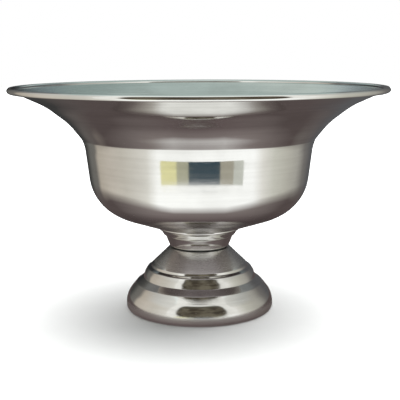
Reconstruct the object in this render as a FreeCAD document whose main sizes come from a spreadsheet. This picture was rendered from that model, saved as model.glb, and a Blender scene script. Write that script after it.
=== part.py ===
import FreeCAD, Part
import math
import os
import re

import Sketcher

# A footed punch bowl, spun from stainless sheet.
#
# The bowl, its collar and its foot are three spun shells. A stud brazed under the bowl draws them together:
# it runs down through the collar, a rubber gasket and the top of the foot, and a nut tightens on it inside
# the foot. The bowl's edge is rolled round a steel wire. Units are millimetres, +Z is up, and the origin is
# the middle of the foot's flat underside.
#
# Each shell is one sketch of its outer side, drawn as straight lines whose corners are rounded, with its
# inner side one sheet thickness away, and is turned about Z.

# Every size that can be set by itself: name, value and what it is. All are millimetres but the last, which
# is in degrees.
SIZES = [
    ("sheet_wall", 1.2, "thickness of the spun sheet"),
    # The bowl. A rise is a height above the underside of its floor. Widths and falls run in and down from the
    # rolled edge, each from the corner before it.
    ("rim_radius", 200.0, "outside of the rolled edge"),
    ("bowl_rise", 151.0, "top of the rolled edge"),
    ("bead_radius", 3.0, "outside of the rolled edge's round section"),
    ("wire_play", 0.1, "gap between the wire and the roll around it"),
    ("brim_width", 37.8, "rolled edge to the corner of the brim and the flare"),
    ("brim_fall", 19.1, "drop of the brim"),
    ("brim_bend", 75.0, "bend from the brim to the flare"),
    ("flare_width", 24.0, "width of the flare, down to its throat"),
    ("flare_fall", 18.5, "drop of the flare"),
    ("flare_bend", 80.0, "bend from the flare to its throat"),
    ("throat_width", 13.5, "width of the throat, down to the crease above the wall"),
    ("throat_fall", 17.3, "drop of the throat"),
    ("crease_bend", 5.0, "bend of the crease"),
    ("shoulder_width", 2.9, "crease to where the wall turns upright"),
    ("shoulder_fall", 7.9, "drop of that stretch"),
    ("shoulder_bend", 40.0, "bend into the wall"),
    ("wall_taper", 7.8, "how far the wall narrows, down to the heel"),
    ("heel_rise", 23.0, "height of the heel, where the wall meets the dish"),
    ("heel_bend", 50.0, "bend from the wall to the dish"),
    ("floor_margin", 3.0, "flat floor outside the collar"),
    ("floor_bend", 12.0, "bend from the dish to the floor"),
    # The collar, from its top edge down.
    ("collar_height", 22.5, "top edge to underside"),
    ("collar_radius", 45.0, "outside of its top band"),
    ("collar_band", 2.6, "height of the top band"),
    ("collar_step", 3.1, "how far the shell steps in under the band"),
    ("collar_cove", 3.0, "how far the cove narrows"),
    ("collar_cove_height", 5.0, "height of the cove"),
    ("collar_drum_step", 1.9, "how far the shell steps in under the cove"),
    ("collar_drum_taper", 5.0, "how far the drum narrows"),
    ("collar_drop", 1.6, "drop of each step"),
    ("collar_foot_bend", 3.0, "bend from the drum to the collar's floor"),
    ("gasket_thickness", 1.0, "rubber between the collar and the foot"),
    ("gasket_inset", 1.6, "how far the gasket stays inside the collar"),
    # The foot, from its top down. Insets run in from the foot's outside, and heights up from the table.
    ("foot_height", 67.5, "table to the top of the foot"),
    ("foot_radius", 80.5, "outside of the foot"),
    ("foot_ledge", 1.0, "foot's top standing out past the collar"),
    ("lip_inset", 28.2, "lip under the top cone"),
    ("lip_height", 48.6, "top of the lip"),
    ("lip_drop", 2.2, "height of the lip"),
    ("upper_tier_inset", 23.6, "top corner of the upper tier"),
    ("upper_tier_height", 45.0, "height of that corner"),
    ("upper_belly_inset", 20.4, "belly of the upper tier"),
    ("upper_belly_height", 39.5, "height of the belly"),
    ("upper_base_inset", 19.2, "bottom corner of the upper tier"),
    ("upper_base_height", 34.6, "height of that corner"),
    ("lower_tier_inset", 11.4, "top corner of the lower tier"),
    ("lower_tier_height", 28.9, "height of that corner"),
    ("lower_belly_height", 14.6, "height at which the lower tier turns upright"),
    ("lower_belly_bend", 24.0, "bend there"),
    ("tier_bend", 3.5, "bend at a tier's top corner"),
    ("upper_belly_bend", 14.0, "bend at the upper tier's belly"),
    ("hem_bend", 4.2, "bend from the foot's side to its underside"),
    ("hem_width", 16.5, "foot's outside to the edge of its turned-in hem"),
    ("crisp_bend", 1.9, "outside bend of a crisp corner"),
    ("groove_bend", 1.0, "outside bend of a crisp groove"),
    # The fixing: an M8 stud with its washers and nut.
    ("thread_radius", 4.0, "stud"),
    ("stud_play", 0.5, "gap round the stud in each hole"),
    ("nut_play", 0.05, "gap between the stud and the nut"),
    ("disc_radius", 32.0, "backing disc brazed under the bowl"),
    ("disc_thickness", 2.0, "its thickness"),
    ("weld_width", 2.2, "fillet weld round the stud's root"),
    ("clamp_radius", 24.0, "dished washer inside the foot"),
    ("clamp_thickness", 1.5, "its thickness"),
    ("clamp_rim", 4.0, "width of its flat rim"),
    ("clamp_seat", 11.0, "radius of its flat middle"),
    ("clamp_dish", 2.4, "how far its middle is dished"),
    ("clamp_bend", 2.5, "its bends"),
    ("spring_width", 3.0, "width of the spring washer's section"),
    ("spring_height", 2.0, "height of that section"),
    ("spring_play", 0.2, "gap between the spring washer and the stud"),
    ("nut_flats", 13.0, "nut across its flats"),
    ("nut_height", 6.5, "nut"),
    ("stud_end", 4.0, "stud standing out past the nut"),
    ("thread_chamfer", 1.0, "chamfer on the stud's end"),
    ("spring_gap", 14.0, "opening of the split spring washer, in degrees"),
]

FULL_TURN = 360.0
ROLL_START = -130.0  # the roll's free edge, in degrees round the bead's middle
ROLL_END = 207.0  # where the roll joins the brim
SHEET = "Sizes"

# Heights that follow from the sizes above, as formulas on the sheet.
COLLAR_Z = "foot_height + gasket_thickness"
FLOOR_Z = f"{COLLAR_Z} + collar_height"
DISC_Z = f"{FLOOR_Z} - disc_thickness"
FOOT_ROOF_Z = "foot_height - sheet_wall"
CLAMP_Z = f"{FOOT_ROOF_Z} - clamp_thickness - clamp_dish"
SPRING_Z = f"{CLAMP_Z} - spring_height"
NUT_Z = f"{SPRING_Z} - nut_height"
STUD_Z = f"{NUT_Z} - stud_end"
STUD_HOLE = "thread_radius + stud_play"
COLLAR_NARROW = "collar_radius - collar_step - collar_cove - collar_drum_step - collar_drum_taper"

doc = FreeCAD.newDocument("punch_bowl")
sizes = doc.addObject("Spreadsheet::Sheet", SHEET)


def fill_sheet():
    """Writes each size to the sheet: its name, its value under an alias, and its meaning."""
    for row, (name, value, meaning) in enumerate(SIZES, start=1):
        sizes.set(f"A{row}", name)
        sizes.set(f"B{row}", str(value))
        sizes.set(f"C{row}", meaning)
        sizes.setAlias(f"B{row}", name)
    doc.recompute()


def bound(formula):
    """The formula with each size's name pointing at its cell."""
    names = {name for name, _, _ in SIZES}

    def point(word):
        return f"{SHEET}.{word[0]}" if word[0] in names else word[0]

    return re.sub(r"[a-z_]+", point, formula)


def value(formula):
    """What a formula on the sizes comes to now."""
    return float(sizes.evalExpression(bound(formula)))


def origin_plane(body, role):
    """One of the body's own origin planes or axes."""
    return next(feature for feature in body.Origin.OriginFeatures if feature.Role == role)


def new_body(label):
    body = doc.addObject("PartDesign::Body", label)
    body.Label = label
    return body


def new_sketch(body, name, plane="XZ_Plane", height=None):
    """A sketch on one of the body's origin planes, lifted to a height if one is given."""
    sketch = body.newObject("Sketcher::SketchObject", f"{body.Name}_{name}")
    sketch.AttachmentSupport = [(origin_plane(body, plane), "")]
    sketch.MapMode = "FlatFace"
    if height is not None:
        sketch.setExpression("AttachmentOffset.Base.z", bound(height))
    doc.recompute()
    return sketch


class Drafter:
    """Draws in one sketch and ties its dimensions to the sheet."""

    def __init__(self, sketch):
        self.sketch = sketch

    def line(self, start, end):
        return self.sketch.addGeometry(Part.LineSegment(flat(start), flat(end)), False)

    def arc(self, centre, radius, first, last, construction=False):
        """An arc that runs anticlockwise from the angle first to the angle last, in radians."""
        circle = Part.Circle(flat(centre), FreeCAD.Vector(0, 0, 1), radius)
        return self.sketch.addGeometry(Part.ArcOfCircle(circle, first, last), construction)

    def circle(self, centre, radius, construction=False):
        circle = Part.Circle(flat(centre), FreeCAD.Vector(0, 0, 1), radius)
        return self.sketch.addGeometry(circle, construction)

    def point(self, place):
        return self.sketch.addGeometry(Part.Point(flat(place)), True)

    def rule(self, kind, *places):
        return self.sketch.addConstraint(Sketcher.Constraint(kind, *places))

    def size(self, kind, formula, *places):
        """A dimension that follows a formula on the sheet."""
        index = self.rule(kind, *places, value(formula))
        self.sketch.setExpression(f"Constraints[{index}]", bound(formula))

    def place(self, geometry, end, across, up):
        """Puts a point at formulas for its distance from the axis and its height."""
        if across == "0":
            self.rule("PointOnObject", geometry, end, -2)
        else:
            self.size("DistanceX", across, -1, 1, geometry, end)
        if up == "0":
            self.rule("PointOnObject", geometry, end, -1)
        else:
            self.size("DistanceY", up, -1, 1, geometry, end)


def flat(place):
    return FreeCAD.Vector(place[0], place[1], 0)


def unit(start, end):
    length = math.dist(start, end)
    return (end[0] - start[0]) / length, (end[1] - start[1]) / length


def offset_corners(points, distance):
    """The corners of a path moved sideways, to its left by a positive distance."""
    moved = []
    last = len(points) - 1
    for i, point in enumerate(points):
        before = unit(points[max(i - 1, 0)], points[max(i, 1)])
        after = unit(points[min(i, last - 1)], points[min(i + 1, last)])
        along = 1 + before[0] * after[0] + before[1] * after[1]
        moved.append(
            (
                point[0] - distance * (before[1] + after[1]) / along,
                point[1] + distance * (before[0] + after[0]) / along,
            )
        )
    return moved


def rounded_path(draft, points, radii):
    """Draws straight lines through the points, with an arc at each corner between them.

    Returns the lines, and for each arc its index, the ends where the path enters and leaves it, and 1 for a
    turn to the left or -1 for one to the right.
    """
    starts = [points[0]]
    ends = []
    bends = []
    for i, radius in enumerate(radii, start=1):
        before = unit(points[i - 1], points[i])
        after = unit(points[i], points[i + 1])
        cross = before[0] * after[1] - before[1] * after[0]
        dot = before[0] * after[0] + before[1] * after[1]
        reach = radius * math.tan(math.atan2(abs(cross), dot) / 2)
        side = math.copysign(1, cross)
        enter = (points[i][0] - reach * before[0], points[i][1] - reach * before[1])
        leave = (points[i][0] + reach * after[0], points[i][1] + reach * after[1])
        centre = (enter[0] - side * radius * before[1], enter[1] + side * radius * before[0])
        angles = [math.atan2(p[1] - centre[1], p[0] - centre[0]) for p in (enter, leave)]
        first, last = angles if side > 0 else angles[::-1]
        if last < first:
            last += 2 * math.pi
        arc = draft.arc(centre, radius, first, last)
        bends.append((arc, 1 if side > 0 else 2, 2 if side > 0 else 1, side))
        ends.append(enter)
        starts.append(leave)
    ends.append(points[-1])
    lines = [draft.line(start, end) for start, end in zip(starts, ends)]
    for i, (arc, enter, leave, _) in enumerate(bends):
        draft.rule("Tangent", lines[i], 2, arc, enter)
        draft.rule("Tangent", arc, leave, lines[i + 1], 1)
    return lines, bends


def draw_shell(sketch, corners, bends, wall, inner_side, bead=None):
    """Draws the closed outline of a spun sheet.

    corners are the formulas (across, up) of the outer side's corners from one end to the other, and
    bends the formulas of the outer bends between them. inner_side is 1 where the sheet's thickness lies
    to the left of that path and -1 to the right. Where the sheet ends in a bead, the last corner is the
    bead's middle and bead its radius: the sheet points at that middle and stops half-way through the roll.
    """
    draft = Drafter(sketch)
    points = [(value(across), value(up)) for across, up in corners]
    radii = [value(bend) for bend in bends]
    thickness = value(wall)
    if bead:
        middle = points[-1]
        points[-1] = end_at_bead(points[-2], middle, thickness / 2, value(bead) - thickness / 2)
    outer, outer_bends = rounded_path(draft, points, radii)
    inner_points = offset_corners(points, inner_side * thickness)
    inner_radii = [r - inner_side * bend[3] * thickness for r, bend in zip(radii, outer_bends)]
    inner, inner_bends = rounded_path(draft, inner_points, inner_radii)
    for i, bend in enumerate(bends):
        corner = draft.point(points[i + 1])
        draft.place(corner, 1, *corners[i + 1])
        draft.rule("PointOnObject", corner, 1, outer[i])
        draft.rule("PointOnObject", corner, 1, outer[i + 1])
        outer_arc, inner_arc = outer_bends[i][0], inner_bends[i][0]
        sign = "-" if inner_side * outer_bends[i][3] > 0 else "+"
        draft.size("Radius", bend, outer_arc)
        draft.rule("Coincident", outer_arc, 3, inner_arc, 3)
        draft.size("Radius", f"{bend} {sign} {wall}", inner_arc)
    draft.place(outer[0], 1, *corners[0])
    if bead:
        centre = draft.circle(middle, thickness / 2, True)
        reach = draft.circle(middle, value(bead) - thickness / 2, True)
        draft.place(centre, 3, *corners[-1])
        draft.rule("Coincident", centre, 3, reach, 3)
        draft.size("Radius", f"{wall} / 2", centre)
        draft.size("Radius", f"{bead} - {wall} / 2", reach)
        draft.rule("Tangent", outer[-1], centre)
        draft.rule("PointOnObject", outer[-1], 2, reach)
    else:
        draft.place(outer[-1], 2, *corners[-1])
    for end, place in ((0, 1), (-1, 2)):
        outer_end = end_point(sketch, outer[end], place)
        inner_end = end_point(sketch, inner[end], place)
        cap = draft.line(outer_end, inner_end)
        draft.rule("Coincident", cap, 1, outer[end], place)
        draft.rule("Coincident", cap, 2, inner[end], place)
        draft.rule("Perpendicular", cap, outer[end])
        draft.rule("Parallel", outer[end], inner[end])


def end_at_bead(corner, middle, below, reach):
    """Where a line from the corner that passes below the bead's middle by a distance meets the roll."""
    length = math.dist(corner, middle)
    angle = math.atan2(middle[1] - corner[1], middle[0] - corner[0]) - math.asin(below / length)
    run = math.sqrt(length**2 - below**2) - math.sqrt(reach**2 - below**2)
    return corner[0] + run * math.cos(angle), corner[1] + run * math.sin(angle)


def end_point(sketch, geometry, place):
    point = sketch.getPoint(geometry, place)
    return point.x, point.y


def settle(sketch):
    """Solves a sketch and stops the build if a size in it is loose, doubled or contradicted."""
    doc.recompute()
    if sketch.solve() != 0 or sketch.RedundantConstraints or sketch.ConflictingConstraints:
        raise RuntimeError(f"{sketch.Name} doesn't solve")
    if not sketch.FullyConstrained:
        raise RuntimeError(f"{sketch.Name} has a size that nothing sets")


def turn(body, sketch, name="turned", angle=None):
    """Revolves a sketch about Z."""
    turned = body.newObject("PartDesign::Revolution", f"{body.Name}_{name}")
    turned.Profile = sketch
    turned.ReferenceAxis = (sketch, ["V_Axis"])
    turned.Angle = FULL_TURN
    if angle:
        turned.setExpression("Angle", bound(angle))
    sketch.Visibility = False
    doc.recompute()
    return turned


def spun_shell(label, corners, bends, wall, inner_side, bead=None):
    body = new_body(label)
    sketch = new_sketch(body, "outline")
    draw_shell(sketch, corners, bends, wall, inner_side, bead)
    settle(sketch)
    turn(body, sketch)
    return body


def turned_ring(label, corners, angle=None):
    """A body turned from an outline of straight lines, whose corners are formulas (across, up)."""
    body = new_body(label)
    sketch = new_sketch(body, "outline")
    draft = Drafter(sketch)
    points = [(value(across), value(up)) for across, up in corners]
    lines = [draft.line(start, end) for start, end in zip(points, points[1:] + points[:1])]
    for i, corner in enumerate(corners):
        draft.rule("Coincident", lines[i - 1], 2, lines[i], 1)
        draft.place(lines[i], 1, *corner)
    settle(sketch)
    turn(body, sketch, angle=angle)
    return body


def rectangle(inside, outside, bottom, top):
    return [(inside, bottom), (outside, bottom), (outside, top), (inside, top)]


def make_bowl():
    """The bowl: a flat floor, a dish, an upright wall, a crease, a flare and a brim with a rolled edge."""
    bead = ("rim_radius - bead_radius", f"{FLOOR_Z} + bowl_rise - bead_radius")
    flare = ("rim_radius - brim_width", f"{FLOOR_Z} + bowl_rise - brim_fall")
    throat = (f"{flare[0]} - flare_width", f"{flare[1]} - flare_fall")
    crease = (f"{throat[0]} - throat_width", f"{throat[1]} - throat_fall")
    shoulder = (f"{crease[0]} - shoulder_width", f"{crease[1]} - shoulder_fall")
    heel = (f"{shoulder[0]} - wall_taper", f"{FLOOR_Z} + heel_rise")
    margin = ("collar_radius + floor_margin", FLOOR_Z)
    corners = [("0", FLOOR_Z), margin, heel, shoulder, crease, throat, flare, bead]
    bends = ["floor_bend", "heel_bend", "shoulder_bend", "crease_bend", "flare_bend", "brim_bend"]
    body = spun_shell("bowl", corners, bends, "sheet_wall", 1, "bead_radius")
    roll_edge(body, bead)


def roll_edge(body, bead):
    """The rolled edge: the sheet carried round the bead's middle, short of the brim's underside."""
    sketch = new_sketch(body, "roll")
    draft = Drafter(sketch)
    middle = (value(bead[0]), value(bead[1]))
    formulas = ["bead_radius", "bead_radius - sheet_wall"]
    radii = [value(formula) for formula in formulas]
    first, last = math.radians(ROLL_START), math.radians(ROLL_END)
    arcs = [draft.arc(middle, radius, first, last) for radius in radii]
    for formula, arc in zip(formulas, arcs):
        draft.size("Radius", formula, arc)
    draft.place(arcs[0], 3, *bead)
    draft.rule("Coincident", arcs[0], 3, arcs[1], 3)
    for end, angle in ((1, first), (2, last)):
        places = [(middle[0] + r * math.cos(angle), middle[1] + r * math.sin(angle)) for r in radii]
        cap = draft.line(*places)
        draft.rule("Coincident", cap, 1, arcs[0], end)
        draft.rule("Coincident", cap, 2, arcs[1], end)
        draft.rule("PointOnObject", arcs[0], 3, cap)
        draft.rule("Angle", cap, angle + math.pi)
    settle(sketch)
    turn(body, sketch, "rolled_edge")


def make_rim_wire():
    """The wire that the bowl's edge is rolled round."""
    wire = doc.addObject("Part::Torus", "rim_wire")
    wire.Label = "rim_wire"
    wire.setExpression("Radius1", bound("rim_radius - bead_radius"))
    wire.setExpression("Radius2", bound("bead_radius - sheet_wall - wire_play"))
    wire.setExpression("Placement.Base.z", bound(f"{FLOOR_Z} + bowl_rise - bead_radius"))


def make_collar():
    """The stepped collar: a band, a cove and a drum that narrows to a floor with the stud's hole."""
    cove = "collar_radius - collar_step"
    drum = f"{cove} - collar_cove - collar_drum_step"
    corners = [
        ("collar_radius", FLOOR_Z),
        ("collar_radius", f"{FLOOR_Z} - collar_band"),
        (cove, f"{FLOOR_Z} - collar_band - collar_drop"),
        (f"{cove} - collar_cove", f"{FLOOR_Z} - collar_band - collar_drop - collar_cove_height"),
        (drum, f"{FLOOR_Z} - collar_band - collar_drop - collar_cove_height - collar_drop / 2"),
        (COLLAR_NARROW, COLLAR_Z),
        (STUD_HOLE, COLLAR_Z),
    ]
    bends = ["crisp_bend", "groove_bend", "crisp_bend", "groove_bend", "collar_foot_bend"]
    spun_shell("collar", corners, bends, "sheet_wall", -1)


def make_neck_gasket():
    """The rubber ring that beds the collar on the foot."""
    corners = rectangle(STUD_HOLE, f"{COLLAR_NARROW} - gasket_inset", "foot_height", COLLAR_Z)
    turned_ring("neck_gasket", corners)


def make_foot():
    """The foot: a cone with a lip, two rounded tiers, and a hem turned in flat to stand on."""
    corners = [
        (STUD_HOLE, "foot_height"),
        (f"{COLLAR_NARROW} + foot_ledge", "foot_height"),
        ("foot_radius - lip_inset", "lip_height"),
        ("foot_radius - lip_inset + groove_bend / 2", "lip_height - lip_drop"),
        ("foot_radius - upper_tier_inset", "upper_tier_height"),
        ("foot_radius - upper_belly_inset", "upper_belly_height"),
        ("foot_radius - upper_base_inset", "upper_base_height"),
        ("foot_radius - lower_tier_inset", "lower_tier_height"),
        ("foot_radius", "lower_belly_height"),
        ("foot_radius", "0"),
        ("foot_radius - hem_width", "0"),
    ]
    bends = [
        "crisp_bend",
        "crisp_bend",
        "groove_bend",
        "tier_bend",
        "upper_belly_bend",
        "groove_bend",
        "tier_bend",
        "lower_belly_bend",
        "hem_bend",
    ]
    spun_shell("foot", corners, bends, "sheet_wall", -1)


def make_backing_disc():
    """The disc brazed under the bowl's floor, which spreads the stud's pull."""
    turned_ring("backing_disc", rectangle("0", "disc_radius", DISC_Z, FLOOR_Z))


def make_stud():
    """The stud: welded to the backing disc at its root, chamfered at its end."""
    corners = [
        ("0", DISC_Z),
        ("thread_radius + weld_width", DISC_Z),
        ("thread_radius", f"{DISC_Z} - weld_width"),
        ("thread_radius", f"{STUD_Z} + thread_chamfer"),
        ("thread_radius - thread_chamfer", STUD_Z),
        ("0", STUD_Z),
    ]
    turned_ring("stud", corners)


def make_clamp_washer():
    """The dished washer that bears on the roof of the foot and carries the nut's pull."""
    corners = [
        (STUD_HOLE, CLAMP_Z),
        ("clamp_seat", CLAMP_Z),
        ("clamp_radius - clamp_rim", f"{CLAMP_Z} + clamp_dish"),
        ("clamp_radius", f"{CLAMP_Z} + clamp_dish"),
    ]
    spun_shell("clamp_washer", corners, ["clamp_bend", "clamp_bend"], "clamp_thickness", 1)


def make_spring_washer():
    """The split spring washer, closed up flat."""
    bore = "thread_radius + spring_play"
    corners = rectangle(bore, f"{bore} + spring_width", SPRING_Z, CLAMP_Z)
    turned_ring("spring_washer", corners, angle=f"{FULL_TURN} - spring_gap")


def make_hex_nut():
    """The nut: a hexagon with its corners chamfered at both ends, bored for the stud."""
    body = new_body("hex_nut")
    sketch = new_sketch(body, "hexagon", "XY_Plane", NUT_Z)
    draft = Drafter(sketch)
    corner_radius = value("nut_flats") / math.cos(math.pi / 6) / 2
    angles = [k * math.pi / 3 for k in range(6)]
    corners = [(corner_radius * math.cos(angle), corner_radius * math.sin(angle)) for angle in angles]
    sides = [draft.line(corners[k - 1], corners[k]) for k in range(6)]
    rim = draft.circle((0, 0), corner_radius, True)
    draft.rule("Coincident", rim, 3, -1, 1)
    for k in range(6):
        draft.rule("Coincident", sides[k - 1], 2, sides[k], 1)
        draft.rule("PointOnObject", sides[k], 1, rim)
    for k in range(1, 6):
        draft.rule("Equal", sides[0], sides[k])
    draft.rule("PointOnObject", sides[1], 1, -1)
    draft.size("Radius", "nut_flats / 2 / cos(30 deg)", rim)
    settle(sketch)
    blank = body.newObject("PartDesign::Pad", "hex_nut_blank")
    blank.Profile = sketch
    blank.setExpression("Length", bound("nut_height"))
    doc.recompute()
    cut_nut_corners(body)
    bore_nut(body)


def cut_nut_corners(body):
    """Turns the hexagon's corners off at 30 degrees, at each end of the nut."""
    reach = "nut_flats * 0.75"
    for name, face, inwards in (("lower", NUT_Z, "+"), ("upper", f"{NUT_Z} + nut_height", "-")):
        outwards = "-" if inwards == "+" else "+"
        sketch = new_sketch(body, f"{name}_corners")
        draft = Drafter(sketch)
        corners = [
            ("nut_flats / 2", face),
            (reach, f"{face} {inwards} ( {reach} - nut_flats / 2 ) * tan(30 deg)"),
            (reach, f"{face} {outwards} thread_chamfer"),
            ("nut_flats / 2", f"{face} {outwards} thread_chamfer"),
        ]
        points = [(value(across), value(up)) for across, up in corners]
        lines = [draft.line(start, end) for start, end in zip(points, points[1:] + points[:1])]
        for i, corner in enumerate(corners):
            draft.rule("Coincident", lines[i - 1], 2, lines[i], 1)
            draft.place(lines[i], 1, *corner)
        settle(sketch)
        groove = body.newObject("PartDesign::Groove", f"hex_nut_{name}_chamfer")
        groove.Profile = sketch
        groove.ReferenceAxis = (sketch, ["V_Axis"])
        groove.Angle = FULL_TURN
        doc.recompute()


def bore_nut(body):
    sketch = new_sketch(body, "bore", "XY_Plane", NUT_Z)
    draft = Drafter(sketch)
    circle = draft.circle((0, 0), value("thread_radius + nut_play"))
    draft.rule("Coincident", circle, 3, -1, 1)
    draft.size("Radius", "thread_radius + nut_play", circle)
    settle(sketch)
    bore = body.newObject("PartDesign::Pocket", "hex_nut_bore")
    bore.Profile = sketch
    bore.Reversed = True
    bore.setExpression("Length", bound("nut_height"))
    doc.recompute()


def write_parts():
    """Checks every object and writes each sub-part to parts/ under its label."""
    doc.recompute()
    for thing in doc.Objects:
        if "Invalid" in thing.State or "Error" in thing.State:
            raise RuntimeError(f"{thing.Name} failed: {thing.State}")
    os.makedirs("parts", exist_ok=True)
    for thing in doc.Objects:
        if thing.TypeId not in ("PartDesign::Body", "Part::Torus"):
            continue
        shape = thing.Shape
        if shape.isNull() or not shape.isValid() or not shape.Solids:
            raise RuntimeError(f"{thing.Label} has no sound solid")
        shape.exportStep(os.path.join("parts", f"{thing.Label}.step"))
        box = shape.BoundBox
        print(f"{thing.Label}: {len(shape.Solids)} solid, z {box.ZMin:.2f} to {box.ZMax:.2f}")


fill_sheet()
make_bowl()
make_rim_wire()
make_backing_disc()
make_stud()
make_collar()
make_neck_gasket()
make_foot()
make_clamp_washer()
make_spring_washer()
make_hex_nut()
write_parts()
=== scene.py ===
import math

import bpy
import numpy as np
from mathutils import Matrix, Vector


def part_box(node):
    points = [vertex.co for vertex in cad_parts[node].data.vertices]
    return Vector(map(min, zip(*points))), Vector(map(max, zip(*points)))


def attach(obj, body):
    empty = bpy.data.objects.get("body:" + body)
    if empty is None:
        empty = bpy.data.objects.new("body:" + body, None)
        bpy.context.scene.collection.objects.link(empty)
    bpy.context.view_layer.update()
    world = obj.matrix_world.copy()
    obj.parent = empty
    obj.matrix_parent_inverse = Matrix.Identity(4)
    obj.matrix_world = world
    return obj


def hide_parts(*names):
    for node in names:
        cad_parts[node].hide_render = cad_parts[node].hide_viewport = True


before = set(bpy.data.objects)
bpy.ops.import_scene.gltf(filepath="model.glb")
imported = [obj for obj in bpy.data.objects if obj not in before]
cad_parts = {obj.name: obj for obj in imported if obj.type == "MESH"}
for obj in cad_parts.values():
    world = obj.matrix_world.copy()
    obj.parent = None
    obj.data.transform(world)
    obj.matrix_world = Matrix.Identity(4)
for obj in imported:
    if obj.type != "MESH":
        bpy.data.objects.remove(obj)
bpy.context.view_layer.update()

MM = 0.001
ROUND = 256  # steps round a large shell
SMALL_ROUND = 96  # steps round a small part
STEP = 2.0  # longest step along an outline, in mm
ON_AXIS = 1e-6  # a point nearer the axis than this lies on it, in mm


# --------------------------------------------------------------------------------------------------
# Sizes, in millimetres. What the CAD model settles comes from the boxes of its nodes.


def span(node):
    """Lowest and highest corner of a CAD node, in millimetres."""
    low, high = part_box(node)
    return np.array(low) / MM, np.array(high) / MM


WALL = 1.2  # spun sheet
BEAD = 3.0  # radius of the rolled edge's round section

RIM_RADIUS, RIM_TOP = span("bowl")[1][0], span("bowl")[1][2]
FLOOR = span("bowl")[0][2]
COLLAR_RADIUS, COLLAR_FLOOR = span("collar")[1][0], span("collar")[0][2]
FOOT_RADIUS, FOOT_TOP = span("foot")[1][0], span("foot")[1][2]
GASKET_RADIUS, GASKET_BOTTOM = span("neck_gasket")[1][0], span("neck_gasket")[0][2]
DISC_BOTTOM = span("backing_disc")[0][2]
WASHER_RADIUS, WASHER_BOTTOM = span("clamp_washer")[1][0], span("clamp_washer")[0][2]
WASHER_TOP = span("clamp_washer")[1][2]
STUD_BOTTOM = span("stud")[0][2]
THREAD = 4.0  # radius of the stud
THREAD_PITCH = 1.25
HOLE = THREAD + 0.5


# --------------------------------------------------------------------------------------------------
# Outlines: arrays of (distance from the axis, height)


def rounded_path(corners, bends):
    """Straight lines through the corners, with each inner corner rounded by a tangent arc.

    A bend of radius R at a turn of angle t leaves its line R tan(t / 2) before the corner, and its
    points are the bend's middle plus R (cos a, sin a), with a running through t.
    """
    corners = np.array(corners, float)
    coarsest = math.radians(6)
    pieces = [corners[:1]]
    for before, corner, after, bend in zip(corners, corners[1:], corners[2:], bends):
        inward = (corner - before) / np.linalg.norm(corner - before)
        outward = (after - corner) / np.linalg.norm(after - corner)
        turn = math.atan2(np.cross(inward, outward), inward @ outward)
        start = corner - inward * bend * math.tan(abs(turn) / 2)
        left = np.array([-inward[1], inward[0]]) * np.sign(turn)
        middle = start + left * bend
        steps = max(3, math.ceil(abs(turn) * bend / STEP), int(abs(turn) / coarsest))
        first = math.atan2(*(start - middle)[::-1])
        angles = first + np.linspace(0, turn, steps + 1)
        pieces.append(middle + bend * np.stack([np.cos(angles), np.sin(angles)], 1))
    pieces.append(corners[-1:])
    return even_steps(np.concatenate(pieces))


def even_steps(points, longest=STEP):
    """The same line with each step longer than the given length divided evenly."""
    pieces = []
    for a, b in zip(points, points[1:]):
        count = max(1, math.ceil(np.linalg.norm(b - a) / longest))
        pieces.append(a + (b - a) * np.linspace(0, 1, count, endpoint=False)[:, None])
    return np.concatenate(pieces + [points[-1:]])


def left_of(points):
    """The unit vector to the left of a line at each point: its direction turned a quarter turn."""
    along = np.gradient(points, axis=0)
    along /= np.linalg.norm(along, axis=1)[:, None]
    return np.stack([-along[:, 1], along[:, 0]], 1)


def rippled(points, height, waves):
    """The line with a spinner's faint ripples: it moves sideways by a sum of sines of its length.

    The ripples rise from nothing over the line's first few millimetres and die away over its last.
    """
    ease_length = 12  # mm
    length = np.concatenate([[0], np.cumsum(np.linalg.norm(np.diff(points, axis=0), axis=1))])
    ease = np.clip(np.minimum(length, length[-1] - length) / ease_length, 0, 1)
    shift = sum(np.sin(2 * math.pi * length / wave + 1.7 * k) for k, wave in enumerate(waves))
    return points + left_of(points) * (height * ease * shift)[:, None]


def arc(middle, radius, first, last, step=9):
    """Points round a middle from one angle to another, in degrees, about one step apart."""
    count = max(2, int(abs(last - first) / step) + 1)
    angles = np.radians(np.linspace(first, last, count))
    return np.array(middle) + radius * np.stack([np.cos(angles), np.sin(angles)], 1)


def eased(points, size, sharpest=30):
    """A closed line with each corner sharper than the given angle cut off by a short chamfer.

    A chamfer is smaller than its size where a line beside it is short, so that two never meet.
    """
    before = points - np.roll(points, 1, 0)
    after = np.roll(points, -1, 0) - points
    long_before = np.linalg.norm(before, axis=1)
    long_after = np.linalg.norm(after, axis=1)
    turn = (before * after).sum(1) / (long_before * long_after)
    sharp = (turn < math.cos(math.radians(sharpest))) & (points[:, 0] > ON_AXIS)
    room = np.minimum(long_before, long_after) / 2.5
    cut = np.where(sharp, np.minimum(size, room), 0)[:, None]
    cut_before = points - before / long_before[:, None] * cut
    cut_after = points + after / long_after[:, None] * cut
    keep = np.stack([np.ones_like(sharp), sharp], 1)
    return np.stack([cut_before, cut_after], 1)[keep]


# --------------------------------------------------------------------------------------------------
# Meshes


def add_piece(name, vertices, faces, stands_for, materials, index=None):
    """Makes a mesh piece from arrays in millimetres, with its slots and materials, hangs it on the
    root body and hides the CAD nodes it stands for.
    """
    mesh = bpy.data.meshes.new(name)
    mesh.from_pydata((vertices * MM).tolist(), [], faces)
    for material in materials:
        mesh.materials.append(material)
    if index is not None:
        mesh.polygons.foreach_set("material_index", np.array(index, np.int32))
    mesh.polygons.foreach_set("use_smooth", np.ones(len(mesh.polygons), bool))
    mesh.update()
    piece = bpy.data.objects.new(name, mesh)
    bpy.context.scene.collection.objects.link(piece)
    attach(piece, "root")
    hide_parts(*stands_for)
    return piece


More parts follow.
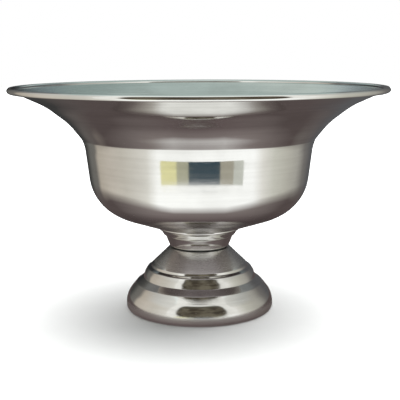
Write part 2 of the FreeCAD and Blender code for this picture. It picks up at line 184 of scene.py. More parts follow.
def ring_faces(count, steps, on_axis):
    """The faces between neighbouring rings of vertices, and for each face the ring where it starts.

    Rings that end on the axis are closed by fans to two more vertices, which come after all the rings,
    and other rings are joined end to end.
    """
    lower = np.arange(count - 1 if on_axis else count)
    upper = (lower + 1) % count
    here = np.arange(steps)
    there = (here + 1) % steps
    low, high = lower[:, None] * steps, upper[:, None] * steps
    quads = np.stack([low + here, low + there, high + there, high + here], 2)
    faces = quads.reshape(-1, 4).tolist()
    starts = np.repeat(lower, steps).tolist()
    if on_axis:
        first, last = count * steps, count * steps + 1
        top = (count - 1) * steps
        faces += np.stack([there, here, np.full(steps, first)], 1).tolist()
        faces += np.stack([top + here, top + there, np.full(steps, last)], 1).tolist()
        starts += [0] * steps + [count - 1] * steps
    return faces, np.array(starts)


def turned(outline, steps):
    """Turns a closed outline about Z: x = r cos a, y = r sin a, z = height.

    The outline runs anticlockwise, so that the faces look outwards. An outline that starts and ends on
    the axis gets one vertex at each of these ends, and any other is joined end to end. Returns the
    vertices, the faces, and for each face the place in the outline where it starts.
    """
    angle = np.linspace(0, 2 * math.pi, steps, endpoint=False)
    on_axis = outline[0, 0] < ON_AXIS
    points = outline[1:-1] if on_axis else outline
    x = points[:, :1] * np.cos(angle)
    y = points[:, :1] * np.sin(angle)
    z = np.repeat(points[:, 1:], steps, 1)
    vertices = np.stack([x, y, z], 2).reshape(-1, 3)
    if on_axis:
        vertices = np.concatenate([vertices, [[0, 0, outline[0, 1]], [0, 0, outline[-1, 1]]]])
    return vertices, *ring_faces(len(points), steps, on_axis)


# --------------------------------------------------------------------------------------------------
# Materials


class Nodes:
    """Builds one material's nodes. An input given to a node is a value or another node's output."""

    def __init__(self, name):
        self.material = bpy.data.materials.new(name)
        self.material.use_nodes = True
        self.tree = self.material.node_tree
        self.shader = self.tree.nodes["Principled BSDF"]

    def add(self, kind, inputs=(), **settings):
        """A node with its settings and inputs."""
        node = self.tree.nodes.new(kind)
        for key, setting in settings.items():
            setattr(node, key, setting)
        for socket, given in dict(inputs).items():
            self.feed(node.inputs[socket], given)
        return node

    def feed(self, socket, given):
        """Links another node's output to a socket, or sets the socket's own value."""
        if isinstance(given, bpy.types.NodeSocket):
            self.tree.links.new(given, socket)
        else:
            socket.default_value = given

    def math(self, operation, *values, clamp=False):
        """One sum on numbers."""
        node = self.add("ShaderNodeMath", enumerate(values), operation=operation, use_clamp=clamp)
        return node.outputs[0]

    def vector(self, operation, *values):
        """One sum on vectors, as a node, because its result may be a number or a vector."""
        return self.add("ShaderNodeVectorMath", enumerate(values), operation=operation)

    def split(self, place):
        """The X, Y and Z of a place."""
        return self.add("ShaderNodeSeparateXYZ", {0: place}).outputs

    def noise(self, place, scale, detail=2.0, roughness=0.5, w=None):
        """Noise from 0 to 1 at a place, with w as a fourth direction where it is given."""
        inputs = {"Vector": place, "Scale": scale, "Detail": detail, "Roughness": roughness}
        if w is not None:
            inputs["W"] = w
        dimensions = "3D" if w is None else "4D"
        return self.add("ShaderNodeTexNoise", inputs, noise_dimensions=dimensions).outputs["Fac"]

    def between(self, value, low, high, out_low=0.0, out_high=1.0):
        """The value's place between low and high, as a place between the two out values."""
        ends = {"From Min": low, "From Max": high, "To Min": out_low, "To Max": out_high}
        node = self.add("ShaderNodeMapRange", {"Value": value, **ends}, clamp=True)
        return node.outputs["Result"]

    def mix(self, share, first, second):
        """A colour between two others, which is all second where the share is 1."""
        node = self.add("ShaderNodeMix", data_type="RGBA")
        factor, colour_a, colour_b = node.inputs[0], node.inputs[6], node.inputs[7]
        for socket, given in ((factor, share), (colour_a, first), (colour_b, second)):
            self.feed(socket, given)
        return node.outputs[2]

    def bump(self, height, distance, strength=1.0, normal=None):
        """Relief on top of another relief, with distance as its full height in metres."""
        inputs = {"Height": height, "Distance": distance, "Strength": strength}
        if normal is not None:
            inputs["Normal"] = normal
        return self.add("ShaderNodeBump", inputs).outputs["Normal"]

    def place(self):
        """Where a point is on the object, in metres."""
        return self.add("ShaderNodeTexCoord").outputs["Object"]

    def set(self, **inputs):
        """Feeds the shader's own inputs, named with _ for a space."""
        for name, given in inputs.items():
            self.feed(self.shader.inputs[name.replace("_", " ")], given)


def round_axis(nodes, place):
    """Distance from the axis, height, and the cosine and sine of the angle round the axis."""
    parts = nodes.split(place)
    level = nodes.vector("MULTIPLY", place, (1.0, 1.0, 0.0)).outputs[0]
    radius = nodes.math("MAXIMUM", nodes.vector("LENGTH", level).outputs["Value"], 1e-5)
    cosine = nodes.math("DIVIDE", parts["X"], radius)
    sine = nodes.math("DIVIDE", parts["Y"], radius)
    return radius, parts["Z"], cosine, sine


def rings(nodes, axis, pitch, breaks, detail=2.0):
    """Noise drawn out into rings round the axis, with pitch as their spacing in metres.

    The noise is read at (radius / pitch, height / pitch, breaks cos a, breaks sin a), so it changes
    fast across the rings, and round them more often the larger breaks is.
    """
    radius, height, cosine, sine = axis
    across = nodes.math("DIVIDE", radius, pitch)
    up = nodes.math("DIVIDE", height, pitch)
    around = nodes.math("MULTIPLY", cosine, breaks)
    place = nodes.add("ShaderNodeCombineXYZ", {"X": across, "Y": up, "Z": around}).outputs[0]
    return nodes.noise(place, 1.0, detail, w=nodes.math("MULTIPLY", sine, breaks))


# Spacing and height of the marks on spun steel, in metres
FINE_RINGS = 0.00035
BROAD_RINGS, BROAD_HEIGHT = 0.004, 0.00003
SCRATCHES, SCRATCH_DEPTH = 0.00016, 0.000004

# Tones of steel, and how much rougher a scratch and a satin finish are than the polish.
# The satin tones are much darker than the polish: painted shade on the dish near the collar.
CLEAN_POLISH, WORN_POLISH = (0.80, 0.795, 0.775, 1.0), (0.64, 0.63, 0.61, 1.0)
CLEAN_SATIN_SHADED, WORN_SATIN_SHADED = (0.40, 0.372, 0.378, 1.0), (0.33, 0.305, 0.312, 1.0)
SCRATCH_ROUGHER, SATIN_ROUGHER = 0.16, 0.20


def spun_steel(name, dull, line_height, haze, stained=0.4, satin=None, brushed=()):
    """Polished spun steel: rings left by the tool and the mop, scratches along them, and hazy spots.

    dull is the roughness where the polish is best, line_height the height of the finest rings in
    metres, haze how much rougher the worst spots are, and stained how much the wide stains darken it.
    satin is a pair of distances from the axis, in metres: the polish starts to fade inward
    at the first and is gone at the second, where the steel is rougher and darker; the darkening is
    painted shade. brushed lists bands of height left duller: where each starts, where it is full, and
    how much rougher it is.
    """
    nodes = Nodes(name)
    place = nodes.place()
    axis = round_axis(nodes, place)
    distance, height = axis[:2]
    fine = rings(nodes, axis, FINE_RINGS, breaks=3.0, detail=3.0)
    broad = rings(nodes, axis, BROAD_RINGS, breaks=1.2)
    short = rings(nodes, axis, SCRATCHES, breaks=14.0, detail=1.0)
    scratch = nodes.between(short, 0.69, 0.76)
    cloudy = nodes.between(nodes.noise(place, scale=22.0, detail=4.0, roughness=0.6), 0.45, 0.75)
    stain = nodes.between(nodes.noise(place, scale=9.0, detail=3.0, roughness=0.55), 0.42, 0.68)

    fine_marks = nodes.between(fine, 0.35, 0.7)
    roughness = nodes.math("ADD", dull, nodes.math("MULTIPLY", fine_marks, dull * 0.5))
    roughness = nodes.math("MULTIPLY_ADD", nodes.between(broad, 0.4, 0.7), dull * 0.6, roughness)
    roughness = nodes.math("MULTIPLY_ADD", cloudy, haze, roughness)
    roughness = nodes.math("MULTIPLY_ADD", scratch, SCRATCH_ROUGHER, roughness)

    wear = nodes.math("MULTIPLY", cloudy, 0.35)
    wear = nodes.math("MULTIPLY_ADD", nodes.between(broad, 0.35, 0.75), 0.4, wear)
    wear = nodes.math("MULTIPLY_ADD", stain, stained, wear, clamp=True)
    clean, worn = CLEAN_POLISH, WORN_POLISH
    # Towards the collar: a rougher satin finish, and a darker tone that is painted shade
    if satin is not None:
        fade = nodes.between(distance, *satin)
        clean = nodes.mix(fade, clean, CLEAN_SATIN_SHADED)
        worn = nodes.mix(fade, worn, WORN_SATIN_SHADED)
        roughness = nodes.math("MULTIPLY_ADD", fade, SATIN_ROUGHER, roughness)
    for start, full, rougher in brushed:
        band = nodes.between(height, start, full, 0.0, rougher)
        roughness = nodes.math("ADD", roughness, band)

    normal = nodes.bump(broad, BROAD_HEIGHT, 0.35)
    normal = nodes.bump(fine, line_height, 0.6, normal)
    normal = nodes.bump(scratch, SCRATCH_DEPTH, 0.5, normal)
    tangent = nodes.add("ShaderNodeTangent", direction_type="RADIAL", axis="Z").outputs[0]
    nodes.set(Metallic=1.0, Base_Color=nodes.mix(wear, clean, worn), Roughness=roughness)
    nodes.set(Normal=normal, Anisotropic=0.35, Tangent=tangent)
    return nodes.material


def plated_steel(name, colour, spangle, dull):
    """Zinc plate or bare rolled steel: a satin metal with a faint grain, dull spots and fine dents.

    spangle is how gently the spots run into each other, and dull the roughness between them.
    """
    nodes = Nodes(name)
    place = nodes.place()
    grain = nodes.noise(place, scale=900.0, detail=3.0, roughness=0.6)
    patches = nodes.noise(place, scale=160.0, detail=3.0, roughness=0.55)
    dark = tuple(0.55 * part for part in colour) + (1.0,)
    light = tuple(colour) + (1.0,)
    share = nodes.between(patches, 0.35, 0.35 + spangle)
    roughness = nodes.math("MULTIPLY_ADD", patches, 0.22, dull)
    nodes.set(Metallic=1.0, Base_Color=nodes.mix(share, dark, light), Roughness=roughness)
    nodes.set(Normal=nodes.bump(grain, 0.00004, 0.35))
    return nodes.material


def moulded_rubber(name):
    """Black rubber with a dusty bloom and a fine moulded grain."""
    nodes = Nodes(name)
    place = nodes.place()
    bloom = nodes.between(nodes.noise(place, scale=120.0, detail=4.0, roughness=0.6), 0.45, 0.75)
    grain = nodes.noise(place, scale=2600.0)
    black, dusty = (0.020, 0.020, 0.021, 1.0), (0.07, 0.07, 0.068, 1.0)
    roughness = nodes.math("MULTIPLY_ADD", bloom, 0.2, 0.6)
    nodes.set(Base_Color=nodes.mix(bloom, black, dusty), Roughness=roughness)
    nodes.set(Normal=nodes.bump(grain, 0.00005, 0.4))
    return nodes.material


BOWL_SATIN_AND_SHADE = (0.108, 0.096)  # the dish's underside loses its polish towards the collar, and darkens there with painted shade
HEM_BRUSHED = (0.013, 0.008, 0.26)  # the foot's edge, below its lower bulge
CONE_BRUSHED = (0.0495, 0.0515, 0.17)  # the foot's cone, above its lip

outer_steel = spun_steel(
    "mirror_polished_steel", dull=0.045, line_height=0.0000012, haze=0.04, satin=BOWL_SATIN_AND_SHADE
)
collar_steel = spun_steel("polished_collar_steel", dull=0.07, line_height=0.0000015, haze=0.05)
foot_steel = spun_steel(
    "polished_foot_steel",
    dull=0.06,
    line_height=0.0000015,
    haze=0.05,
    brushed=(HEM_BRUSHED, CONE_BRUSHED),
)
inner_steel = spun_steel(
    "brushed_polished_steel", dull=0.13, line_height=0.000004, haze=0.06, stained=0.9
)
hidden_steel = plated_steel("bare_rolled_steel", (0.56, 0.55, 0.53), spangle=0.3, dull=0.32)
zinc = plated_steel("zinc_plate", (0.70, 0.71, 0.73), spangle=0.25, dull=0.24)
rubber = moulded_rubber("black_rubber")


# --------------------------------------------------------------------------------------------------
# The bowl

# Corners of the bowl's outer side: radius, height above its floor, and the bend that rounds it
BOWL_CORNERS = [
    (COLLAR_RADIUS + 3.0, 0.0, 12.0),  # floor to dish
    (114.0, 23.0, 50.0),  # dish to wall
    (121.8, 88.2, 40.0),  # the wall opens
    (124.7, 96.1, 5.0),  # the crease under the flare
    (138.2, 113.4, 80.0),  # the flare opens
    (162.2, 131.9, 75.0),  # flare to brim
]
BEAD_MIDDLE = np.array([RIM_RADIUS - BEAD, RIM_TOP - BEAD])


def bowl_outline():
    """The bowl's outer and inner side, and the brim's slope in degrees.

    The outer side runs from the axis to inside the bead, and the inner side is one wall's thickness
    to its left, and runs back.
    """
    root_depth = 0.7 * BEAD  # how far from the bead's middle the outer side ends
    ripple, waves = 0.0035, (13.0, 7.3, 21.0)  # mm
    corners = [(0, FLOOR)] + [(radius, FLOOR + rise) for radius, rise, _ in BOWL_CORNERS]
    brim = math.atan2(*(BEAD_MIDDLE - corners[-1])[::-1])
    root = BEAD_MIDDLE + root_depth * np.array([-math.cos(brim), -math.sin(brim)])
    outside = rounded_path(corners + [tuple(root)], [bend for _, _, bend in BOWL_CORNERS])
    outside = rippled(outside, ripple, waves)
    inside = (outside + left_of(outside) * WALL)[::-1]
    inside[-1, 0] = 0.0
    return outside, inside, math.degrees(brim)


def make_bowl():
    """The spun bowl, with its edge rolled down and round into a bead that leaves room for the wire.

    The outline runs up the outer side to the bead, round the bead's hollow to the sheet's free end,
    back over the bead's outside, and down the inner side. Angles round the bead are in degrees.
    """
    outside, inside, brim = bowl_outline()
    hollow = BEAD - WALL
    seam_radius = BEAD - 0.5  # where the outer side meets the rolled sheet
    outer_stop, inner_stop = BEAD - 0.3, BEAD + 0.1  # as near the bead's middle as each side comes
    back = 180 + brim
    seam, crease = back + 10, back - 17
    free_end = -130
    keep_out = np.linalg.norm(outside - BEAD_MIDDLE, axis=1) > outer_stop
    keep_in = np.linalg.norm(inside - BEAD_MIDDLE, axis=1) > inner_stop
    outline = np.concatenate(
        [
            outside[keep_out],
            arc(BEAD_MIDDLE, seam_radius, seam, seam + 0.1),
            arc(BEAD_MIDDLE, hollow, seam - 6, free_end),
            arc(BEAD_MIDDLE, BEAD, free_end, crease),
            inside[keep_in],
        ]
    )
    outline = eased(outline, 0.12)
    vertices, faces, starts = turned(outline, ROUND)
    inner_from = len(outline) - keep_in.sum()
    index = (starts >= inner_from).astype(int)
    finishes = [outer_steel, inner_steel]
    return add_piece("bowl_shell", vertices, faces, ["bowl"], finishes, index)


make_bowl()


# --------------------------------------------------------------------------------------------------
# The collar and the foot


def sheet_outline(corners, bends):
    """A spun sheet's closed outline, from its outer side's path, and how many points that side has.

    The path runs from the top down and the inner side is one wall's thickness to its right. The
    outline goes up the outer side and down the inner one, so it runs anticlockwise. The count leaves
    out the two points that easing adds, at the ends of the outer side.
    """
    ripple, waves, chamfer = 0.006, (6.1, 3.7), 0.25  # mm
    outer = rippled(rounded_path(corners, bends), ripple, waves)
    inner = outer - left_of(outer) * WALL
    return eased(np.concatenate([outer[::-1], inner]), chamfer), len(outer)


def make_shell(name, stands_for, corners, bends, outer_finish):
    """A spun shell from the corners and bends of its outer side."""
    outline, outer_count = sheet_outline(corners, bends)
    vertices, faces, starts = turned(outline, ROUND)
    index = (starts >= outer_count).astype(int)
    finishes = [outer_finish, inner_steel]
    return add_piece(name, vertices, faces, stands_for, finishes, index)


def make_collar():
    """A band, a cove and a drum, each stepped in under the one above, on a floor with the stud's hole.

    Returns the radius where the floor meets the foot.
    """
    band, drop, cove_height = 2.6, 1.6, 5.0
    cove_taper, floor_bevel = 3.0, 5.0
    cove = COLLAR_RADIUS - 3.1
    drum = cove - cove_taper - 1.9
    cove_top = FLOOR - band - drop
    cove_bottom = cove_top - cove_height
    corners = [
        (COLLAR_RADIUS, FLOOR),
        (COLLAR_RADIUS, FLOOR - band),
        (cove, cove_top),
        (cove - cove_taper, cove_bottom),
        (drum, cove_bottom - drop / 2),
        (drum - floor_bevel, COLLAR_FLOOR),
        (HOLE, COLLAR_FLOOR),
    ]
    bends = [1.9, 1.0, 1.9, 1.0, 3.0]
    make_shell("collar_shell", ["collar"], corners, bends, collar_steel)
    return drum - floor_bevel


def make_foot(waist):
    """A cone with a lip, two rounded tiers, and a flat hem turned in under the foot."""
    lip, lip_drop, hem = 28.2, 2.2, 16.5
    top_bend = 1.9
    outer_side = [  # step in from the foot's edge, height, and the bend that rounds the corner
        (lip, 48.6, 1.9),
        (lip - 0.5, 48.6 - lip_drop, 1.0),
        (23.6, 45.0, 3.5),  # the upper tier's shoulder
        (20.4, 39.5, 14.0),  # its rounded side
        (19.2, 34.6, 1.0),  # the crease where the shelf starts
        (11.4, 28.9, 3.5),  # the shelf's outer edge
        (0.0, 14.6, 24.0),  # the lower tier's bulge
        (0.0, 0.0, 4.2),  # the turn into the hem
    ]
    corners = [(HOLE, FOOT_TOP), (waist + 1.0, FOOT_TOP)]
    corners += [(FOOT_RADIUS - step, height) for step, height, _ in outer_side]
    corners += [(FOOT_RADIUS - hem, 0.0)]
    bends = [top_bend] + [bend for _, _, bend in outer_side]
    make_shell("foot_shell", ["foot"], corners, bends, foot_steel)


make_foot(waist=make_collar())


# --------------------------------------------------------------------------------------------------
# The fixing under the bowl


def make_ring(name, node, outline, material, steps=SMALL_ROUND, ease=0.15):
    """A small part turned from its closed outline, with its sharp corners eased."""
    vertices, faces, _ = turned(eased(np.array(outline, float), ease), steps)
    return add_piece(name, vertices, faces, [node], [material])


def make_gasket():
    """A rubber ring whose edge bulges a little under the pull."""
    top = COLLAR_FLOOR
    half = (top - GASKET_BOTTOM) / 2
    edge = arc((GASKET_RADIUS - half, GASKET_BOTTOM + half), half, -90, 90, 15)
    outline = np.concatenate([[(HOLE, GASKET_BOTTOM)], edge, [(HOLE, top)]])
    make_ring("gasket_ring", "neck_gasket", outline, rubber, ROUND)


def make_clamp_washer():
    """A pressed washer: a flat middle, a sloping dish and a flat rim, 1.5 mm thick."""
    thick, rim, seat = 1.5, 4.0, 11.0
    path = rounded_path(
        [
            (HOLE, WASHER_BOTTOM),
            (seat, WASHER_BOTTOM),
            (WASHER_RADIUS - rim, WASHER_TOP - thick),
            (WASHER_RADIUS, WASHER_TOP - thick),
        ],
        [2.5, 2.5],
    )
    outline = np.concatenate([path, (path + left_of(path) * thick)[::-1]])
    make_ring("clamp_washer_pressing", "clamp_washer", outline, zinc, SMALL_ROUND, 0.3)


def make_stud():
    """The threaded stud: its radius is the bar's, less the thread's depth at each angle and height.

    The thread at angle a and height z is a triangle wave of z / pitch - a / (2 pi), with a flat
    crest. It fades out over the two turns below the runout, above which the bar is plain. A chamfer
    cuts its lower end, and its upper end flares into its weld by a quarter circle.
    """
    top, weld, chamfer = DISC_BOTTOM, 2.2, 1.0
    steps = 72
    crest = 1.25  # how far the triangle wave is stretched before its top is cut flat
    full_depth = 0.61 * THREAD_PITCH  # of a 60 degree thread
    angle = np.linspace(0, 2 * math.pi, steps, endpoint=False)
    runout = COLLAR_FLOOR - 6.0
    low = np.arange(STUD_BOTTOM, runout, THREAD_PITCH / 12)
    bar = np.linspace(runout, top - weld, 12)
    flare = top - weld * (1 - np.sin(np.linspace(0, math.pi / 2, 8)[1:]))
    height = np.concatenate([low, bar, flare])[:, None]
    phase = (height / THREAD_PITCH - angle / (2 * math.pi)) % 1.0
    tooth = np.clip(crest * np.abs(2 * phase - 1), 0, 1)
    fade = np.clip((runout - height) / (2 * THREAD_PITCH), 0, 1)
    radius = THREAD - full_depth * (1 - tooth) * fade
    radius = np.minimum(radius, THREAD - chamfer + (height - STUD_BOTTOM))
    rise = np.clip((height - (top - weld)) / weld, 0, 1)
    radius = radius + weld * (1 - np.sqrt(1 - rise**2))
    x, y = radius * np.cos(angle), radius * np.sin(angle)
    z = np.repeat(height, steps, 1)
    vertices = np.stack([x, y, z], 2).reshape(-1, 3)
    vertices = np.concatenate([vertices, [[0, 0, STUD_BOTTOM], [0, 0, top]]])
    faces, _ = ring_faces(len(height), steps, on_axis=True)
    add_piece("threaded_stud", vertices, faces, ["stud"], [zinc])


def paint_node(node, material):
    """Gives a CAD node, whose shape is already right, its finish."""
    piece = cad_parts[node]
    piece.material_slots[0].material = material


make_gasket()
make_clamp_washer()
make_stud()
for node, material in (
    ("rim_wire", hidden_steel),
    ("backing_disc", hidden_steel),
    ("spring_washer", zinc),
    ("hex_nut", zinc),
):
    paint_node(node, material)


# --------------------------------------------------------------------------------------------------
# The stage: a pale floor, soft light, and cards that only reflections see. Sizes are in metres.

TENT_RADIUS, TENT_TOP = 0.62, 0.78
OPENING = 0.49  # radius of what stands in the tent's open front
STRIP_TOP = 0.045  # top of the low cards in the opening
BACKDROP_RADIUS, BACKDROP_TOP = 6.0, 4.0


def glow(name, colour_of):
    """A material that only glows, in the colour that the function colour_of(nodes) gives."""
    nodes = Nodes(name)
    light = nodes.add("ShaderNodeEmission", {"Color": colour_of(nodes)})
    nodes.tree.links.new(light.outputs[0], nodes.tree.nodes["Material Output"].inputs["Surface"])
    nodes.tree.nodes.remove(nodes.shader)
    return nodes.material


def plain_glow(name, colour):
    """A material that only glows, in one colour."""
    return glow(name, lambda nodes: (*colour, 1.0))


def ramp(nodes, value, stops):
    """A colour ramp through (place, colour) stops."""
    node = nodes.add("ShaderNodeValToRGB", {0: value})
    elements = node.color_ramp.elements
    while len(elements) < len(stops):
        elements.new(1.0)
    for element, (place, colour) in zip(elements, stops):
        element.position = place
        element.color = (*colour, 1.0)
    return node.outputs[0]


# The tent's cloth by its bearing in degrees from the open front, left to right: low, and near the roof
LOW_CLOTH = [
    (-180, (0.030, 0.030, 0.032)),
    (-155, (0.028, 0.028, 0.030)),
    (-141, (0.070, 0.070, 0.066)),
    (-130, (0.165, 0.162, 0.150)),
    (-119, (0.190, 0.180, 0.165)),
    (-112, (0.520, 0.470, 0.400)),
    (-90, (0.65, 0.60, 0.53)),
    (-72, (0.69, 0.66, 0.59)),
    (-57, (0.78, 0.76, 0.70)),
    (-48, (0.86, 0.85, 0.79)),
    (-37, (1.22, 1.24, 1.22)),
    (50, (1.22, 1.24, 1.23)),
    (61, (0.90, 0.89, 0.84)),
    (74, (0.68, 0.68, 0.61)),
    (90, (0.56, 0.55, 0.49)),
    (108, (0.43, 0.42, 0.38)),
    (122, (0.20, 0.19, 0.18)),
    (140, (0.11, 0.11, 0.115)),
    (156, (0.10, 0.10, 0.105)),
    (180, (0.10, 0.10, 0.11)),
]
HIGH_CLOTH = [
    (-180, (0.48, 0.58, 0.56)),
    (-176, (0.33, 0.42, 0.41)),
    (-172, (0.28, 0.36, 0.34)),
    (-165, (0.21, 0.27, 0.29)),
    (-150, (0.25, 0.29, 0.30)),
    (-130, (0.20, 0.20, 0.20)),
    (-118, (0.17, 0.17, 0.17)),
    (-110, (0.56, 0.55, 0.52)),
    (-60, (0.80, 0.80, 0.76)),
    (0, (1.0, 1.0, 0.98)),
    (60, (0.80, 0.80, 0.76)),
    (108, (0.42, 0.44, 0.42)),
    (124, (0.22, 0.23, 0.23)),
    (160, (0.20, 0.25, 0.26)),
    (165, (0.36, 0.43, 0.46)),
    (172, (0.55, 0.64, 0.61)),
    (177, (0.58, 0.66, 0.63)),
    (180, (0.48, 0.58, 0.56)),
]
FADE_LOW, FADE_HIGH = 0.34, 0.52  # heights between which the cloth turns from one to the other


def bearing_of(nodes, parts):
    """A point's bearing round the axis: 0 in the open front, growing to the right, in radians."""
    return nodes.math("ARCTAN2", parts["X"], nodes.math("MULTIPLY", parts["Y"], -1.0))


def cloth_at_bearing(nodes, stops):
    """The colour at a point's bearing, as a ramp over the whole circle."""
    bearing = bearing_of(nodes, nodes.split(nodes.place()))
    share = nodes.between(bearing, -math.pi, math.pi)
    return ramp(nodes, share, [((degrees + 180) / 360, colour) for degrees, colour in stops])


def cloth_colour(nodes):
    """The tent's cloth: its low colours, fading into its high ones between two heights."""
    share = nodes.between(nodes.split(nodes.place())["Z"], FADE_LOW, FADE_HIGH)
    low, high = cloth_at_bearing(nodes, LOW_CLOTH), cloth_at_bearing(nodes, HIGH_CLOTH)
    return nodes.mix(share, low, high)


def floor_colour(nodes):
    """The floor as the bowl reflects it: dim under the bowl, then as bright as the cloth over it.

    The light spreads in under the bowl further from the open front than from the sides. The sine of
    the angle round the axis is -1 in the open front and 1 at the back.
    """
    close = (0.140, 0.108, 0.108, 1.0)
    in_front = (0.270, 0.232, 0.225, 1.0)
    behind = (0.104, 0.082, 0.080, 1.0)
    radius, _, _, sine = round_axis(nodes, nodes.place())
    start = nodes.between(sine, -0.9, 0.2, 0.140, 0.27)
    full = nodes.between(sine, -0.9, 0.0, 0.205, 0.42)
    full = nodes.math("ADD", full, nodes.between(sine, 0.0, 1.0, 0.0, 0.30))
    lit = nodes.between(radius, start, full)
    under = nodes.mix(nodes.between(radius, 0.08, 0.16), close, in_front)
    under = nodes.mix(nodes.between(sine, -0.8, 0.2), under, behind)
    return nodes.mix(lit, under, cloth_at_bearing(nodes, LOW_CLOTH))


def roof_colour(nodes):
    """The tent's roof: bright cloth over its front, greyer towards its back."""
    front, back = (0.95, 1.02, 1.0, 1.0), (0.48, 0.58, 0.56, 1.0)
    along = nodes.between(nodes.split(nodes.place())["Y"], -0.22, -0.05)
    return nodes.mix(along, front, back)


def room_colour(nodes):
    """The dim room beyond the open front: a blurred oval, brown and green, in bright cloth.

    The oval's edge is where b^4 + h^4 = 1, with b the bearing and h the height from its middle, in
    half sizes. The room has one dim colour near the oval's top.
    """
    middle_bearing, half_width = math.radians(3), math.radians(38)
    middle_height, half_height = 0.33, 0.33
    dark, pale = (0.062, 0.050, 0.036, 1.0), (0.190, 0.170, 0.125, 1.0)
    ceiling = (0.115, 0.108, 0.085, 1.0)
    cloth = (1.02, 1.02, 0.98, 1.0)
    place = nodes.place()
    parts = nodes.split(place)
    aside = nodes.math("SUBTRACT", bearing_of(nodes, parts), middle_bearing)
    above = nodes.math("SUBTRACT", parts["Z"], middle_height)
    b = nodes.math("DIVIDE", aside, half_width)
    h = nodes.math("DIVIDE", above, half_height)
    b_fourth = nodes.math("POWER", nodes.math("ABSOLUTE", b), 4.0)
    h_fourth = nodes.math("POWER", nodes.math("ABSOLUTE", h), 4.0)
    outside = nodes.between(nodes.math("ADD", b_fourth, h_fourth), 0.85, 1.15)
    spots = nodes.between(nodes.noise(place, scale=6.0), 0.42, 0.62)
    room = nodes.mix(spots, dark, pale)
    room = nodes.mix(nodes.between(h, 0.3, 0.8), room, ceiling)
    return nodes.mix(outside, room, cloth)


def stage_mesh(name, points, faces, material):
    """A piece of the stage from arrays of points, in metres, and faces."""
    mesh = bpy.data.meshes.new(name)
    mesh.from_pydata(np.array(points).tolist(), [], np.array(faces).tolist())
    mesh.materials.append(material)
    piece = bpy.data.objects.new(name, mesh)
    bpy.context.scene.collection.objects.link(piece)
    return piece


def circle(radius, steps=96):
    """Points round the axis: x = r cos a, y = r sin a."""
    angle = np.linspace(0, 2 * math.pi, steps, endpoint=False)
    return radius * np.stack([np.cos(angle), np.sin(angle)], 1)


def bend_at_opening(left, right, steps=12):
    """Points on the opening's radius between two bearings b, in degrees: x = r sin b, y = -r cos b."""
    bearing = np.radians(np.linspace(left, right, steps + 1))
    return OPENING * np.stack([np.sin(bearing), -np.cos(bearing)], 1)


def level_card(name, line, height, material):
    """A flat card inside a closed line."""
    points = np.insert(line, 2, height, axis=1)
    return stage_mesh(name, points, [np.arange(len(line))], material)


def upright_card(name, line, bottom, top, material, closed=False):
    """A card that stands over a line, between two heights."""
    points = np.concatenate([np.insert(line, 2, height, axis=1) for height in (bottom, top)])
    count = len(line)
    here = np.arange(count if closed else count - 1)
    there = (here + 1) % count
    faces = np.stack([here, there, there + count, here + count], 1)
    return stage_mesh(name, points, faces, material)


def only_reflected(piece):
    """Hides a card from the camera, and keeps it from lighting anything but reflections."""
    piece.visible_camera = False
    piece.visible_diffuse = False
    piece.visible_shadow = False
    piece.visible_transmission = False


def make_floor():
    """A wide pale floor with a faint grain. Reflections see the tent's floor in its place."""
    paint = Nodes("pale_floor")
    grain = paint.noise(paint.place(), scale=40.0, detail=4.0)
    dark, pale = (0.86, 0.86, 0.855, 1.0), (0.89, 0.89, 0.885, 1.0)
    paint.set(Base_Color=paint.mix(grain, dark, pale), Roughness=0.75)
    corners = BACKDROP_RADIUS * np.array([(-1, -1), (1, -1), (1, 1), (-1, 1)])
    level_card("floor", corners, 0.0, paint.material).visible_glossy = False


def make_tent():
    """A round tent of cloth with a floor and a roof, and what its open front shows.

    The open front is low cards and the room above them, which stand inside the cloth.
    """
    wall, floor_height = circle(TENT_RADIUS), 0.0001
    floor, roof = glow("tent_floor", floor_colour), glow("tent_roof", roof_colour)
    cloth, room = glow("tent_cloth", cloth_colour), glow("far_room", room_colour)
    only_reflected(level_card("tent_floor", wall, floor_height, floor))
    only_reflected(upright_card("tent_cloth", wall, 0.0, TENT_TOP, cloth, closed=True))
    only_reflected(level_card("tent_roof", wall, TENT_TOP, roof))
    low_cards = [  # left and right bearing, and colour
        (-34, -19.5, (0.90, 0.87, 0.47)),
        (-19.5, -9, (0.50, 0.50, 0.37)),
        (-9, 18.5, (0.052, 0.083, 0.105)),
        (18.5, 30.5, (0.45, 0.43, 0.35)),
        (30.5, 39.8, (0.66, 0.68, 0.62)),
    ]
    for number, (left, right, colour) in enumerate(low_cards):
        name = f"beyond_{number}"
        line = bend_at_opening(left, right)
        only_reflected(upright_card(name, line, 0.0, STRIP_TOP, plain_glow(name, colour)))
    only_reflected(upright_card("far_room", bend_at_opening(-48, 54), STRIP_TOP, TENT_TOP, room))


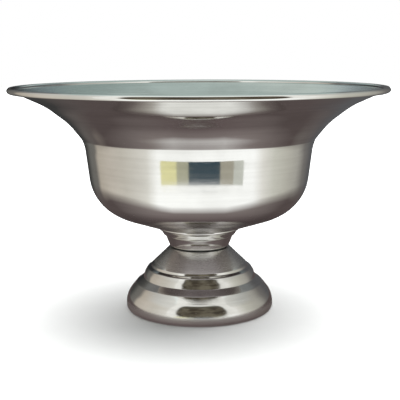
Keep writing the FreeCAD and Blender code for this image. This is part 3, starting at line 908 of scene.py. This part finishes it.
def make_backdrop():
    """A white ring round the whole stage, which only the camera sees."""
    white = plain_glow("white_backdrop", (1.0, 1.0, 1.0))
    ring = circle(BACKDROP_RADIUS)
    backdrop = upright_card("backdrop", ring, -0.01, BACKDROP_TOP, white, closed=True)
    backdrop.visible_diffuse = False
    backdrop.visible_glossy = False
    backdrop.visible_shadow = False


def light_stage():
    """Soft light from all round, and a wide overhead light that reflections don't see."""
    fill_colour, fill_strength = (0.62, 0.66, 0.66, 1.0), 0.75
    lamp_strength, lamp_width = 6.0, math.radians(80)
    tilt_back, tilt_aside = math.radians(-12), math.radians(6)
    world = bpy.data.worlds.new("soft_fill")
    bpy.context.scene.world = world
    world.use_nodes = True
    fill = world.node_tree.nodes["Background"].inputs
    fill["Color"].default_value = fill_colour
    fill["Strength"].default_value = fill_strength
    overhead = bpy.data.lights.new("overhead", "SUN")
    overhead.energy = lamp_strength
    overhead.angle = lamp_width
    lamp = bpy.data.objects.new("overhead", overhead)
    lamp.rotation_euler = (tilt_back, tilt_aside, 0)
    bpy.context.scene.collection.objects.link(lamp)
    lamp.visible_glossy = False


make_floor()
make_tent()
make_backdrop()
light_stage()


# --------------------------------------------------------------------------------------------------
# The camera: places in metres, turns in degrees

CAMERA_DISTANCE = 0.900  # from the bowl's axis
CAMERA_HEIGHT = 0.2777
CAMERA_SIDE = 0.0015
CAMERA_PITCH, CAMERA_ROLL = 10.04, 0.2
SENSOR = 36.0  # width, in mm
FOCAL_WIDTHS = 2.09675  # the focal length, in widths of the sensor


def make_camera():
    """The camera in front of the bowl, looking a little down at it."""
    lens = bpy.data.cameras.new("camera")
    lens.sensor_width = SENSOR
    lens.lens = SENSOR * FOCAL_WIDTHS
    camera = bpy.data.objects.new("camera", lens)
    camera.location = (CAMERA_SIDE, -CAMERA_DISTANCE, CAMERA_HEIGHT)
    camera.rotation_euler = (math.radians(90 - CAMERA_PITCH), math.radians(CAMERA_ROLL), 0)
    bpy.context.scene.collection.objects.link(camera)
    bpy.context.scene.camera = camera
    bpy.context.scene.view_settings.view_transform = "Standard"


make_camera()

bpy.context.view_layer.update()
